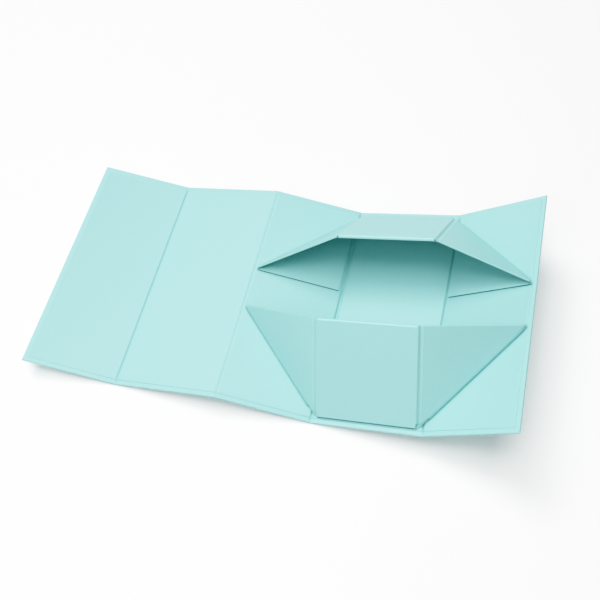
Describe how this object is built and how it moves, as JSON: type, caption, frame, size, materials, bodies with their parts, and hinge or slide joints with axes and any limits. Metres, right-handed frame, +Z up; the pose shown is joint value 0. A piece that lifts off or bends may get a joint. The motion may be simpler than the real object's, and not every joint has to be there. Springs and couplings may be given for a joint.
{
  "type": "foldable gift box",
  "caption": "Foldable rigid gift box lying half opened: a strip of covered board panels with a lid and closure flap, and side walls tied in by folded corner gussets.",
  "frame": {"origin": "on the table, under the middle of the strip's length and breadth", "axes": "+X along the strip from the closure flap to the front wall, +Y along the creases, +Z up from the table"},
  "size_m": [0.4506, 0.233, 0.0805],
  "materials": {
    "panel_cover": "matte mint cover paper",
    "side_cover": "matte mint cover paper",
    "liner_paper": "matte mint liner paper",
    "crease_paper": "matte mint cover paper",
    "side_lining_paper": "matte mint liner paper",
    "magnet": "nickel plated",
    "keeper": "bare steel"
  },
  "bodies": {
    "root": {"back_crease_paper": "crease_paper", "back_wall": "panel_cover", "base_panel": "panel_cover", "front_crease_paper": "crease_paper", "front_wall": "panel_cover", "left_back_anchor": "side_cover", "left_back_gusset": "side_cover", "left_front_anchor": "side_cover", "left_front_gusset": "side_cover", "left_keeper": "keeper", "left_side_lining": "side_lining_paper", "left_side_wall": "side_cover", "lid_hinge_paper": "crease_paper", "right_back_anchor": "side_cover", "right_back_gusset": "side_cover", "right_front_anchor": "side_cover", "right_front_gusset": "side_cover", "right_keeper": "keeper", "right_side_lining": "side_lining_paper", "right_side_wall": "side_cover", "tray_liner": "liner_paper"},
    "lid": {"lid_panel": "panel_cover", "lid_liner": "liner_paper", "flap_hinge_paper": "crease_paper"},
    "flap": {"closure_flap": "panel_cover", "flap_liner": "liner_paper", "left_magnet": "magnet", "right_magnet": "magnet"}
  },
  "joints": [
    {"name": "lid_hinge", "type": "hinge", "parent": "root", "child": "lid", "pos_m": [-0.03583, 0, 0.01685], "axis": [0, 1, 0], "range_deg": [0, 122]},
    {"name": "flap_hinge", "type": "hinge", "parent": "lid", "child": "flap", "pos_m": [-0.13644, 0, 0.00009], "axis": [0, 1, 0], "range_deg": [-10, 70]}
  ]
}
